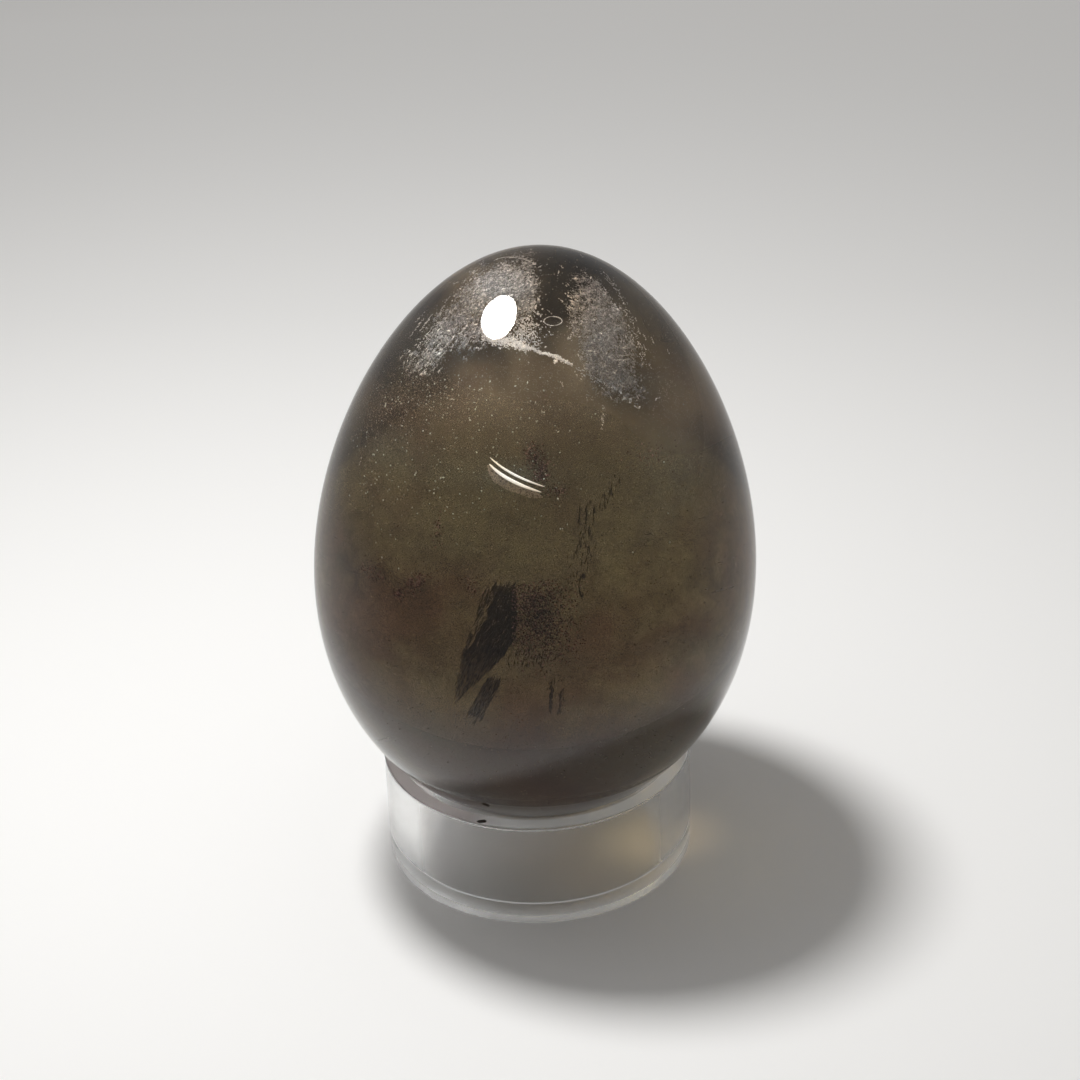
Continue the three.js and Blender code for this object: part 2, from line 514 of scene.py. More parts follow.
heart_points, heart_faces = egg_surface(HEART_RINGS, HEART_TURNS)
heart_points = HEART_SHARE * heart_points @ lean.T + egg_middle
heart = new_piece("smoky_heart", heart_points, heart_faces, heart_material(), "egg", "smoky_quartz")
heart_middle = picture_place(egg_middle[None])
heart_places = heart_middle + HEART_SPREAD * (picture_place(heart_points) - heart_middle)
paint(heart, heart_places, {
    "brown": BROWN_SPOTS, "dark": PAINTED_SHADE_SPOTS, "pale": PAINTED_LIGHT_SPOTS, "thick": THICK_SPOTS})

# The veils, two healed cracks that run down from the top of the stone on the left
# and on the right. Like all the flaws in it they are part of the stone. Each is a
# thin curved sheet of silvery grains, raggedly spread, and goes deeper downwards.
SKIN_LEAST = 0.0003  # from the stone's surface to any flaw
HALVINGS = 40
SLOPE_STEP = 0.00001
GRAIN_FACES = np.array([
    (0, 1, 2), (0, 2, 3), (0, 3, 4), (0, 4, 1), (5, 2, 1), (5, 3, 2), (5, 4, 3), (5, 1, 4)])
GRAIN_CORNERS = 6
GRAIN_SIZES = (0.3, 0.8)  # shares of the size that is asked for
HATCH_STRAY = 0.35  # pixels
VEIL_TOP = 270  # the pixel row from which the veils go deeper
VEIL_DIP = 0.00002  # deeper for each pixel further down
VEIL_STRAY = 0.0002  # how far its grains stray from the sheet
VEIL_CLUMP = 14  # grains to a clump
CLUMPED = 0.65  # the share of grains that are in clumps
CLUMP_STRAY = 2.0  # pixels
FEW_BRIGHT = 3  # the power that leaves most grains dull
MIST_GRAINS = 1.5  # for each other grain
MIST_STRAY = 2.5  # pixels
MIST_SIZE = 0.4  # of a grain's
MIST_TONES = (0.1, 0.5)
STREAK_SIZE = 0.7
STREAK_TONES = (0.3, 1)
SIZE_SPREAD = (-0.1, 0.4)  # the middle and spread of the sizes' logarithm
VEIL_SLIMNESS = 0.5  # a grain's width as a share of its length
VEIL_TILT = 0.6
SILVER = ((0.212, 0.22, 0.235, 1), (0.985, 0.985, 1.0, 1))  # the dullest and the brightest grain
MOSSY = ((0.287, 0.277, 0.283, 1), (0.995, 0.967, 0.975, 1))


def egg_gap(points):
    """How far points lie outside the egg, across its axis, or inside it if negative."""
    across, aside, height = np.moveaxis((points - egg_middle) @ lean, -1, 0)
    cosine = np.clip(height / egg_half, -1, 1)
    return np.hypot(across, aside) - girth * np.sqrt(1 - cosine ** 2) * (1 - taper * cosine)


def unit(vectors):
    """Rows of vectors, each at a length of 1."""
    return vectors / np.linalg.norm(vectors, axis=1, keepdims=True)


def into_egg(pixels, depth):
    """Points that lie a depth inside the stone and show at the given pixels.

    The line of sight meets the surface where egg_gap passes zero, found by halving,
    and goes on in the direction that the law of refraction gives."""
    aside = (np.asarray(pixels, float) - PHOTO_SIDE / 2) / FOCAL
    sight = unit(ahead + aside[:, :1] * picture_right - aside[:, 1:] * picture_up)
    outside = np.zeros((len(sight), 1))
    inside = sight @ (egg_middle - eye)[:, None]
    for _ in range(HALVINGS):
        middle = (outside + inside) / 2
        reached = egg_gap(eye + middle * sight)[:, None] < 0
        inside = np.where(reached, middle, inside)
        outside = np.where(reached, outside, middle)
    skin = eye + inside * sight
    steps = np.eye(3) * SLOPE_STEP
    normal = unit(np.stack([egg_gap(skin + step) - egg_gap(skin - step) for step in steps], -1))
    facing_share = -(sight * normal).sum(1, keepdims=True)
    bent = (sight + normal * facing_share) / QUARTZ_IOR
    bent -= normal * np.sqrt(1 - (bent ** 2).sum(1, keepdims=True))
    return skin + np.reshape(depth, (-1, 1)) * bent


def patch(rng, x, y, wide, high, turn, count):
    """Random pixels in a soft oval round x, y that is turned clockwise by degrees."""
    slant = math.radians(turn)
    spread = rng.normal(size=(count, 2)) * (wide, high)
    return (x, y) + spread @ np.array([
        [math.cos(slant), math.sin(slant)], [-math.sin(slant), math.cos(slant)]])


def hatch(rng, x, y, wide, high, turn, reach, count, each):
    """Random pixels on short parallel lines whose middles lie in a soft turned oval."""
    middles = np.repeat(patch(rng, x, y, wide, high, turn, count), each, 0)
    onward = rng.uniform(-reach, reach, (count * each, 1))
    slant = math.radians(turn)
    return middles + onward * (math.cos(slant), math.sin(slant)) + rng.normal(
        0, HATCH_STRAY, middles.shape)


def path(rng, corners, count, stray):
    """Random pixels along a bent line, strayed from it."""
    corners = np.array(corners, float)
    reach = np.append(0, np.cumsum(np.linalg.norm(np.diff(corners, axis=0), axis=1)))
    share = rng.uniform(size=count)
    place = np.stack([np.interp(share * reach[-1], reach, side) for side in corners.T], 1)
    return place + rng.normal(0, stray, (count, 2))


def drawn(rng, marks):
    """Random pixels of several marks. A mark is one of these functions and what it takes."""
    return np.vstack([mark(rng, *values) for mark, *values in marks])


def in_picture(turn):
    """The direction that lies at a turn in the picture, clockwise from its right."""
    return math.cos(math.radians(turn)) * picture_right - math.sin(math.radians(turn)) * picture_up


def grains(rng, centres, length, width, along=None, tilt=1.0):
    """Points and faces of small eight-sided grains round the given centres.

    Each has two tips on its long axis and four corners round its waist. The long
    axis is random, or lies along a direction that is tilted by a random vector."""
    count = len(centres)
    axis = rng.normal(size=(count, 3)) * tilt
    if along is not None:
        axis += along
    axis = unit(axis)
    waist = unit(np.cross(axis, rng.normal(size=(count, 3))))
    third = np.cross(axis, waist)
    half_length = length * rng.uniform(*GRAIN_SIZES, (count, 1))
    half_width = width * rng.uniform(*GRAIN_SIZES, (count, 1))
    corners = np.stack([
        half_length * axis, half_width * waist, half_width * third,
        -half_width * waist, -half_width * third, -half_length * axis,
    ], 1) + centres[:, None]
    faces = GRAIN_FACES + GRAIN_CORNERS * np.arange(count)[:, None, None]
    return corners.reshape(-1, 3), faces.reshape(-1, 3)


def grain_piece(name, rng, centres, length, width, material, along=None, tilt=1.0, tone=None):
    """One piece made of grains, each with a tone of its own from 0 to 1."""
    points, faces = grains(rng, centres, length, width, along, tilt)
    piece = new_piece(name, points, faces, material, "egg", "smoky_quartz")
    piece.data.polygons.foreach_set("use_smooth", np.zeros(len(faces), bool))
    tone = rng.uniform(size=len(centres)) if tone is None else tone
    carry(piece, "tone", np.repeat(tone, GRAIN_CORNERS))


def flaw(name, rng, pixels, depth, length, width, material, along=None, tilt=1.0, tone=None):
    """One piece made of grains that show at the given pixels, all inside the stone.

    Lengths, widths and directions are one for all grains or one for each."""
    centres = into_egg(pixels, depth)
    length, width = (np.broadcast_to(size, len(pixels))[:, None] for size in (length, width))
    inside = egg_gap(centres) < -SKIN_LEAST - length[:, 0]
    along = None if along is None else np.broadcast_to(along, (len(pixels), 3))[inside]
    tone = None if tone is None else tone[inside]
    grain_piece(name, rng, centres[inside], length[inside], width[inside], material, along, tilt, tone)


def grain_group():
    """A colour from Dull to Bright, by the tone that each grain carries."""
    group, given, result = new_group("grain_colour", ("Dull", "Bright"), "Colour", "NodeSocketColor")
    colour = blend(group, attribute(group, "tone"), given.outputs["Dull"], given.outputs["Bright"])
    group.links.new(colour, result.inputs["Colour"])
    return group


def grain_material(name, colours, roughness, gloss=0.5, glint=0.0):
    """Grains from a dull to a bright colour, which also give some light of their own."""
    material, tree, shader = new_material(
        name, Roughness=roughness, Specular_IOR_Level=gloss, Emission_Strength=glint)
    colour = placed(tree, grain_colour, dict(zip(("Dull", "Bright"), colours)))
    tree.links.new(colour, shader.inputs["Base Color"])
    tree.links.new(colour, shader.inputs["Emission Color"])
    return material


def veil(name, pixels, streaks, top, size, material, along=None):
    """A sheet of grains that clump together and go deeper down the picture, a little ragged.

    Most grains are dull, and few are bright. A fine mist is spread round them, and the
    streaks, pixels of their own, are brighter than the rest."""
    clumps = pixels[rng.choice(len(pixels), len(pixels) // VEIL_CLUMP)]
    clumped = clumps[rng.integers(len(clumps), size=len(pixels))] + rng.normal(
        0, CLUMP_STRAY, pixels.shape)
    pixels = np.where(rng.uniform(size=(len(pixels), 1)) < CLUMPED, clumped, pixels)
    tone = rng.uniform(size=len(pixels)) ** FEW_BRIGHT
    misty = int(MIST_GRAINS * len(pixels))
    mist = pixels[rng.choice(len(pixels), misty)] + rng.normal(0, MIST_STRAY, (misty, 2))
    size = np.concatenate([
        size * rng.lognormal(*SIZE_SPREAD, len(pixels)), np.full(misty, MIST_SIZE * size),
        np.full(len(streaks), STREAK_SIZE * size)])
    tone = np.concatenate([
        tone, rng.uniform(*MIST_TONES, misty), rng.uniform(*STREAK_TONES, len(streaks))])
    pixels = np.vstack([pixels, mist, streaks])
    depth = top + VEIL_DIP * np.clip(pixels[:, 1] - VEIL_TOP, 0, None) + rng.normal(
        0, VEIL_STRAY, len(pixels))
    flaw(name, rng, pixels, depth, size, VEIL_SLIMNESS * size, material, along, VEIL_TILT, tone)


LEFT_VEIL = (
    (patch, 494, 286, 20, 11, -30, 2200), (patch, 472, 308, 19, 10, -42, 1500),
    (patch, 440, 338, 16, 10, -48, 640), (patch, 525, 290, 6, 14, 0, 1000),
    (patch, 479, 333, 13, 8, -25, 620), (patch, 420, 360, 9, 6, -30, 110),
    (patch, 512, 286, 6, 8, 0, 420),
)
LEFT_STREAKS = (
    (hatch, 442, 334, 22, 14, -52, 7, 56, 14), (hatch, 519, 285, 9, 11, -70, 3, 60, 8),
    (hatch, 484, 284, 16, 8, -30, 3, 40, 8), (hatch, 424, 362, 9, 5, -40, 3, 20, 6),
)
LEFT_DEPTH = 0.0012
LEFT_GRAIN = 0.0002
LEFT_TURN = -48
RIGHT_VEIL = (
    (patch, 592, 288, 12, 12, 50, 700), (patch, 600, 316, 17, 20, 0, 2300),
    (patch, 609, 348, 17, 20, 0, 2900), (patch, 613, 375, 16, 8, 35, 1400),
)
RIGHT_STREAKS = (
    (hatch, 610, 356, 14, 22, 60, 3, 90, 8), (hatch, 590, 300, 14, 14, 40, 3, 40, 6),
    (path, ((598, 268), (618, 290), (634, 325), (644, 365)), 160, 1.5),
)
RIGHT_DEPTH = 0.002
RIGHT_GRAIN = 0.00019
RIGHT_BULGE = (646, 400)  # where the right edge, a parabola, reaches furthest
RIGHT_CURVE = 0.0035
RIGHT_ROWS = (270, 315, 350, 385)
RIGHT_STARTS = (573, 563, 578, 594)  # the column where it starts on those rows
RIGHT_RAGGED = 3  # pixels that its left edge strays

grain_colour = grain_group()
rng = np.random.default_rng(7)
veil("veil_left", drawn(rng, LEFT_VEIL), drawn(rng, LEFT_STREAKS), LEFT_DEPTH, LEFT_GRAIN,
     grain_material("silver_grains", SILVER, roughness=0.3, glint=0.09), in_picture(LEFT_TURN))
right_pixels = drawn(rng, RIGHT_VEIL)
right_edge = RIGHT_BULGE[0] - RIGHT_CURVE * (right_pixels[:, 1] - RIGHT_BULGE[1]) ** 2
left_edge = np.interp(right_pixels[:, 1], RIGHT_ROWS, RIGHT_STARTS) + rng.normal(
    0, RIGHT_RAGGED, len(right_pixels))
right_pixels = right_pixels[(right_pixels[:, 0] < right_edge) & (right_pixels[:, 0] > left_edge)]
veil("veil_right", right_pixels, drawn(rng, RIGHT_STREAKS), RIGHT_DEPTH, RIGHT_GRAIN,
     grain_material("mossy_grains", MOSSY, roughness=0.4, glint=0.05))

# The fresh crack under the left veil, from a row of bright beads on the left to a
# jagged edge that fades out on the right.
CRACK_MARKS = (
    (path, ((482, 333), (496, 340), (512, 342), (526, 348)), 800, 2.6),  # the beads
    (path, ((518, 345), (531, 348), (541, 353), (555, 356), (572, 365)), 420, 0.8),  # the edge
    (path, ((572, 365), (590, 377), (612, 386), (640, 408)), 70, 1.4),  # its faint end
    (patch, 525, 332, 10, 8, 20, 420),  # froth above the beads
    (patch, 556, 359, 0.9, 2.0, 0, 40),  # a bright tooth on the edge
)
CRACK_TONES = ((0.3, 1), (0.2, 0.9), (0, 0.4), (0, 0.6))  # of each but the tooth
CRACK_DEPTH = 0.0014
CRACK_THICKNESS = 0.0003
CRACK_GRAIN = (0.0002, 0.00009)  # length and width
CRACK_TURN = 25
CRACK_TILT = 0.7
EDGE_COLOURS = ((0.41, 0.437, 0.475, 1), (0.96, 0.975, 0.99, 1))

rng = np.random.default_rng(11)
bright = grain_material("bright_edges", EDGE_COLOURS, roughness=0.25, glint=0.2)
crack_parts = [drawn(rng, [mark]) for mark in CRACK_MARKS]
crack_pixels = np.vstack(crack_parts)
crack_depth = CRACK_DEPTH + rng.uniform(0, CRACK_THICKNESS, len(crack_pixels))
crack_tone = np.concatenate([
    *(rng.uniform(*tones, len(part)) for tones, part in zip(CRACK_TONES, crack_parts)),
    np.ones(len(crack_parts[-1]))])
flaw("crack", rng, crack_pixels, crack_depth, *CRACK_GRAIN, bright, in_picture(CRACK_TURN),
     CRACK_TILT, crack_tone)

# Bubbles, seen as bright ovals and parts of ovals, and fine hairlines, all just
# under the skin round the crack.
ARCS = (  # middle, reach both ways, first and last angle, and grains
    (585, 292, 2.6, 2.6, 0, 345, 16), (553, 321, 9, 4.5, 0, 355, 60),
    (526, 323, 4, 5, 180, 330, 22), (532, 337, 3.5, 4, 150, 400, 22),
    (510, 264, 18, 7, 215, 290, 70),
)
HAIRLINES = (
    (path, ((512, 257), (524, 259), (536, 264)), 80, 0.4), (path, ((532, 310), (541, 316)), 40, 0.7),
    (path, ((601, 428), (604, 405)), 26, 1.0), (path, ((655, 400), (660, 396)), 12, 0.6),
    (path, ((359, 465), (362, 455)), 12, 0.3),
)
HAIRLINE_DEPTH = 0.0012
HAIRLINE_GRAIN = (0.00014, 0.00006)


def oval(x, y, wide, high, start, end, count):
    """Pixels spaced along part of an oval, from one angle in degrees to another."""
    angle = np.radians(np.linspace(start, end, count))
    return np.stack([x + wide * np.cos(angle), y + high * np.sin(angle)], 1)


fine_pixels = np.vstack([*(oval(*arc) for arc in ARCS), drawn(rng, HAIRLINES)])
flaw("bubbles_and_hairlines", rng, fine_pixels, HAIRLINE_DEPTH, *HAIRLINE_GRAIN, bright)

# Fine dust: a haze of dull grains all through the stone, and some that glitter in
# its olive part.
GLITTER_BOX = (385, 560, 372, 520)  # pixel columns and rows
BOXED_GRAINS = 520
GLITTER_MARKS = (
    (patch, 372, 470, 12, 45, -12, 130), (patch, 430, 400, 40, 18, 0, 260),
    (patch, 560, 460, 80, 90, 0, 160),
)
GLITTER_DEPTHS = (0.0006, 0.003)
GLITTER_GRAIN = np.array([[0.0001], [0.00008]])  # length and width of the dullest
GLITTER_GROWTH = np.array([[0.0001], [0.00006]])  # how much larger the brightest is
GLITTER_COLOURS = ((0.26, 0.27, 0.25, 1), (0.8, 0.95, 1, 1))
HAZE_TRIES = 26000
HAZE_MARKS = (
    (patch, 400, 398, 26, 14, -25, 1200), (patch, 695, 420, 20, 26, 30, 1200),
    (patch, 540, 380, 90, 28, 0, 3600),
)
HAZE_DEPTHS = (0.001, 0.004)
HAZE_GRAIN = (0.00008, 0.00007)
HAZE_COLOURS = ((0.08, 0.065, 0.05, 1), (0.42, 0.39, 0.34, 1))

rng = np.random.default_rng(13)
left, right, upper, lower = GLITTER_BOX
boxed = [rng.uniform(left, right, BOXED_GRAINS), rng.uniform(upper, lower, BOXED_GRAINS)]
dust = np.vstack([np.stack(boxed, 1), drawn(rng, GLITTER_MARKS)])
dust_tone = rng.uniform(0, 1, len(dust)) ** FEW_BRIGHT
anywhere = rng.uniform(-1, 1, (HAZE_TRIES, 3)) * (EGG_WIDTH / 2, EGG_WIDTH / 2, egg_half)
anywhere = anywhere @ lean.T + egg_middle
anywhere = anywhere[egg_gap(anywhere) < -SKIN_LEAST]
haze_pixels = drawn(rng, HAZE_MARKS)
haze = np.vstack([anywhere, into_egg(haze_pixels, rng.uniform(*HAZE_DEPTHS, len(haze_pixels)))])
flaw("glitter", rng, dust, rng.uniform(*GLITTER_DEPTHS, len(dust)),
     *(GLITTER_GRAIN + GLITTER_GROWTH * dust_tone),
     grain_material("glitter", GLITTER_COLOURS, roughness=0.25), tone=dust_tone)
grain_piece("haze", rng, haze[egg_gap(haze) < -SKIN_LEAST], *HAZE_GRAIN,
            grain_material("haze_grains", HAZE_COLOURS, roughness=0.6))

# Two pale slivers just under the skin, shaped as thin curved cracks, that glow: a
# painted reflection of the lamp inside the stone. A faint film hangs below them,
# deeper in the stone.
SLIVER_PATHS = (  # corners and half width
    ("sliver_upper", ((489.5, 457), (505, 469), (522, 478.5), (545.5, 487)), 0.0001),
    ("sliver_lower", ((489, 463.5), (502, 475), (519, 484), (542, 492.5)), 0.00015),
)
SLIVER_DEPTH = 0.0005
SLIVER_HALF_THICKNESS = 0.00004
SLIVER_SIDES = 8
SLIVER_STEPS = 40
# The colour and glow of the painted reflection.
REFLECTION_CREAM = (0.9, 0.93, 0.95, 1)
REFLECTION_LIGHT = (0.85, 0.92, 0.92, 1)
REFLECTION_GLOW = 0.45
FILM_ROWS = (465, 474, 482, 490, 498)
FILM_LEFT = (487, 489, 494, 508, 530)  # where it starts and ends on those rows
FILM_RIGHT = (489, 502, 516, 536, 543)
FILM_GRAINS = 900
FILM_DEPTH = 0.0009
FILM_GRAIN = (0.0001, 0.0001)
FILM_COLOURS = ((0.26, 0.23, 0.19, 1), (0.5, 0.45, 0.38, 1))
BAND_TRIES = 4  # for each pixel that is wanted


def sliver(corners, depth, half_width, half_thickness):
    """Points and faces of a flat closed spindle along a parabola through the given pixels.

    Its half width falls to nothing at both ends with the square root of a sine."""
    corners = np.array(corners, float)
    share = np.linspace(0, 1, SLIVER_STEPS + 1)
    bend = np.polynomial.polynomial.polyfit(np.linspace(0, 1, len(corners)), corners, 2)
    centres = into_egg(np.polynomial.polynomial.polyval(share, bend).T, depth)
    onward = unit(np.gradient(centres, axis=0))
    aside = unit(np.cross(onward, ahead))
    under = np.cross(onward, aside)
    swell = np.sqrt(np.sin(np.pi * share[1:-1]))[:, None, None]
    angle = once_round(SLIVER_SIDES)[None, :, None]
    body = centres[1:-1, None] + swell * (
        half_width * np.cos(angle) * aside[1:-1, None]
        + half_thickness * np.sin(angle) * under[1:-1, None])
    here, after = numbered(SLIVER_STEPS - 1, SLIVER_SIDES)
    sides = np.stack([here[:-1], after[:-1], after[1:], here[1:]], -1).reshape(-1, 4)
    first, last = body.size // 3, body.size // 3 + 1
    caps = [(first, b, a) for a, b in zip(here[0], after[0])]
    caps += [(last, a, b) for a, b in zip(here[-1], after[-1])]
    return np.vstack([body.reshape(-1, 3), centres[:1], centres[-1:]]), sides.tolist() + caps


def band(rng, rows, left, right, count):
    """Random pixels between a left and a right edge, both given on the same rows."""
    down = rng.uniform(rows[0], rows[-1], BAND_TRIES * count)
    start, end = np.interp(down, rows, left), np.interp(down, rows, right)
    widest = np.max(np.subtract(right, left))
    held = rng.uniform(0, widest, BAND_TRIES * count) < end - start
    down, start, end = down[held][:count], start[held][:count], end[held][:count]
    return np.stack([rng.uniform(start, end), down], 1)


# The slivers glow with painted light, a painted reflection of the lamp.
reflection_material = new_material(
    "painted_lamp_reflection", Base_Color=REFLECTION_CREAM, Roughness=0.3, Emission_Color=REFLECTION_LIGHT,
    Emission_Strength=REFLECTION_GLOW)[0]
for name, corners, half_width in SLIVER_PATHS:
    points, faces = sliver(corners, SLIVER_DEPTH, half_width, SLIVER_HALF_THICKNESS)
    new_piece(name, points, faces, reflection_material, "egg", "smoky_quartz")
flaw("sliver_film", rng, band(rng, FILM_ROWS, FILM_LEFT, FILM_RIGHT, FILM_GRAINS), FILM_DEPTH,
     *FILM_GRAIN, grain_material("film", FILM_COLOURS, roughness=0.6))

# Dark needles of another mineral: a feathered blade with its point down to the
# left, a smaller one beside it, and a few loose strokes.
LARGE_BLADE = (  # its core, the fringe on its left and its point, as rows, left and right
    (band, (588, 600, 618, 638, 650, 662), (497, 492, 487, 476, 470, 467),
     (514, 515, 517, 515, 507, 497), 1450),
    (band, (590, 617, 640, 660), (484, 476, 467, 461), (496, 489, 478, 468), 120),
    (band, (650, 665, 680, 703), (463, 460, 457, 454), (508, 495, 479, 455.5), 1200),
)
SMALL_BLADE = (
    (band, (679, 690, 704, 716), (487, 480, 473, 469), (502, 497, 489, 482), 320),
    (path, ((476, 700), (467, 717)), 30, 0.6), (path, ((482, 702), (475, 723)), 34, 0.6),
    (path, ((488, 702), (481, 720)), 30, 0.6),
)
BLADE_TOP = ((band, (584, 592), (494, 490), (514, 517), 60),)
STROKES = (
    (path, ((580, 507), (579, 522)), 14, 0.4), (path, ((587, 505), (586, 524)), 18, 0.4),
    (path, ((594.5, 507), (593, 520)), 12, 0.4), (patch, 583, 545, 5, 18, 6, 60),
    (patch, 609, 497, 3, 9, 30, 26), (path, ((552, 682), (550, 712)), 50, 1.5),
    (path, ((562, 690), (559, 714)), 26, 1.2), (patch, 528, 655, 12, 6, 0, 50),
)
LOOP = (583, 586, 4, 10, 90, 300, 18)
SHEEN_ROW = 652  # the pixel row from which the large blade shines
SHEEN_RISE = 22  # rows over which its sheen comes to its full
SHEEN_LEAST = 0.06
SHEEN_POWER = 0.7
TOP_TONE = 0.1  # the brightest grain of the blade's top edge
SMALL_TONES = (0.05, 0.5)
STROKE_TONES = (0, 0.12)
NEEDLE_TURNS = (116, 95)  # of the blades and of the loose strokes
NEEDLE_LENGTHS = (0.0008, 0.0006)
NEEDLE_WIDTH = 0.00008
NEEDLE_TILT = 0.12
NEEDLE_DEPTH = 0.003
NEEDLE_STRAY = 0.00025
NEEDLE_COLOURS = ((0.009, 0.005, 0.0, 1), (0.42, 0.38, 0.24, 1))

rng = np.random.default_rng(17)
large, small, blade_top = (drawn(rng, marks) for marks in (LARGE_BLADE, SMALL_BLADE, BLADE_TOP))
strokes = np.vstack([drawn(rng, STROKES), oval(*LOOP)])
needle_pixels = np.vstack([large, blade_top, small, strokes])
needle_counts = (len(large) + len(blade_top) + len(small), len(strokes))
sheen = np.clip((large[:, 1] - SHEEN_ROW) / SHEEN_RISE, SHEEN_LEAST, 1)
needle_tone = np.concatenate([
    sheen * rng.uniform(size=len(large)) ** SHEEN_POWER, TOP_TONE * rng.uniform(size=len(blade_top)),
    rng.uniform(*SMALL_TONES, len(small)), rng.uniform(*STROKE_TONES, len(strokes))])
needle_turns = np.repeat([in_picture(turn) for turn in NEEDLE_TURNS], needle_counts, 0)
flaw("dark_needles", rng, needle_pixels, NEEDLE_DEPTH + rng.normal(0, NEEDLE_STRAY, len(needle_pixels)),
     np.repeat(NEEDLE_LENGTHS, needle_counts), NEEDLE_WIDTH,
     grain_material("dark_needles", NEEDLE_COLOURS, roughness=0.6, gloss=0.0),
     needle_turns, NEEDLE_TILT, needle_tone)

# A grainy purple-brown cloud beside the blade, smudges above and left of it and
# a few dark dots.
CLOUD_MARKS = (
    (patch, 532, 604, 16, 13, 20, 1700), (patch, 536, 634, 17, 15, 0, 1300),
    (patch, 552, 615, 14, 24, 0, 700),
)
CLOUD_TOP = (520, 584)  # a pixel on its upper edge, which rises to the right
CLOUD_TOP_RISE = 0.15  # pixels up for each to the right
CLOUD_LEFT = 512  # the pixel column of its left edge
SMUDGES = (
    (patch, 533, 454, 5, 7, 0, 220), (patch, 542, 470, 4, 8, 10, 260), (patch, 556, 491, 6, 3, 0, 90),
    (patch, 415, 583, 7, 4, -30, 200), (patch, 399, 594, 3, 3, 0, 90), (patch, 372, 572, 9, 5, 20, 120),
    (patch, 438, 530, 3, 8, 0, 50), (patch, 470, 585, 8, 4, 30, 60), (patch, 650, 455, 14, 7, 0, 90),
)
DOTS = (
    (545, 395), (507, 540), (467, 589), (438, 525), (398, 526), (548, 580), (317, 582), (737, 571),
)
DOT_GRAINS = 3
DOT_STRAY = 0.8  # pixels
CLOUD_DEPTH = 0.0025
CLOUD_STRAY = 0.0006
CLOUD_GRAIN = (0.00015, 0.0001)
PURPLE = ((0.03, 0.013, 0.012, 1), (0.42, 0.28, 0.3, 1))

rng = np.random.default_rng(19)
cloud = drawn(rng, CLOUD_MARKS)
cloud_top = CLOUD_TOP[1] - CLOUD_TOP_RISE * (cloud[:, 0] - CLOUD_TOP[0])
cloud = cloud[(cloud[:, 1] > cloud_top) & (cloud[:, 0] > CLOUD_LEFT)]
smudges, dots = drawn(rng, SMUDGES), np.repeat(DOTS, DOT_GRAINS, 0)
dark_pixels = np.vstack([cloud, smudges, dots + rng.normal(0, DOT_STRAY, dots.shape)])
flaw("purple_cloud", rng, dark_pixels, CLOUD_DEPTH + rng.normal(0, CLOUD_STRAY, len(dark_pixels)),
     *CLOUD_GRAIN, grain_material("purple_grains", PURPLE, roughness=0.6, gloss=0.0),
     tone=rng.uniform(size=len(dark_pixels)) ** FEW_BRIGHT)

# The floor, a plain pale sheet that the ring stands on. It isn't part of the
# object. It glows with painted light: a warm oval for the light that the stone
# gathers beside the ring, and a little more far behind.
FLOOR_REACH = 1.2
FLOOR_GAP = 0.00003  # below the ring, so that its foot and the sheet stay apart
SHEET = (0.9, 0.892, 0.875, 1)
GLOW_MIDDLE = (0.012, -0.0012)
GLOW_REACH = (0.009, 0.008)
GLOW_COLOUR = (0.12, 0.085, 0.042, 1)
UNLIT = (0, 0, 0, 1)
FAR_REACH = (0.135, 0.29)  # where the far light starts and is full, along Y
FAR_COLOUR = (1, 0.99, 0.97, 1)
FAR_LIGHT = 0.1


def sheet_material():
    """A pale sheet that glows with painted light: a soft warm oval, and an even rise towards the back.
    """
    material, tree, shader = new_material(
        "pale_sheet", Base_Color=SHEET, Roughness=0.85, Emission_Strength=1.0)
    where, centred = tree.nodes.new("ShaderNodeTexCoord"), tree.nodes.new("ShaderNodeMapping")
    centred.vector_type = "TEXTURE"
    centred.inputs["Location"].default_value = (*GLOW_MIDDLE, 0)
    centred.inputs["Scale"].default_value = (*GLOW_REACH, 1)
    distance, fade = tree.nodes.new("ShaderNodeVectorMath"), tree.nodes.new("ShaderNodeMapRange")
    distance.operation = "LENGTH"
    fade.interpolation_type = "SMOOTHERSTEP"
    fade.inputs["To Min"].default_value, fade.inputs["To Max"].default_value = 1, 0
    tree.links.new(where.outputs["Object"], centred.inputs["Vector"])
    tree.links.new(centred.outputs["Vector"], distance.inputs[0])
    tree.links.new(distance.outputs["Value"], fade.inputs["Value"])
    axes, far = tree.nodes.new("ShaderNodeSeparateXYZ"), tree.nodes.new("ShaderNodeMapRange")
    far.inputs["From Min"].default_value, far.inputs["From Max"].default_value = FAR_REACH
    far.inputs["To Max"].default_value = FAR_LIGHT
    tree.links.new(where.outputs["Object"], axes.inputs["Vector"])
    tree.links.new(axes.outputs["Y"], far.inputs["Value"])
    behind = blend(tree, far.outputs["Result"], UNLIT, FAR_COLOUR)
    light = blend(tree, fade.outputs["Result"], behind, GLOW_COLOUR)
    tree.links.new(light, shader.inputs["Emission Color"])
    return material


def square(reach, height):
    """The corners of a level square round the Z axis."""
    return [(x * reach, y * reach, height) for x, y in ((-1, -1), (1, -1), (1, 1), (-1, 1))]


def flat_piece(name, corners, material):
    """One flat face through the given corners, in the order that they are given."""
    mesh = bpy.data.meshes.new(name)
    mesh.from_pydata(corners, [], [tuple(range(len(corners)))])
    mesh.materials.append(material)
    piece = bpy.data.objects.new(name, mesh)
    bpy.context.scene.collection.objects.link(piece)
    return piece


floor = flat_piece("floor", square(FLOOR_REACH, -FLOOR_GAP), sheet_material())

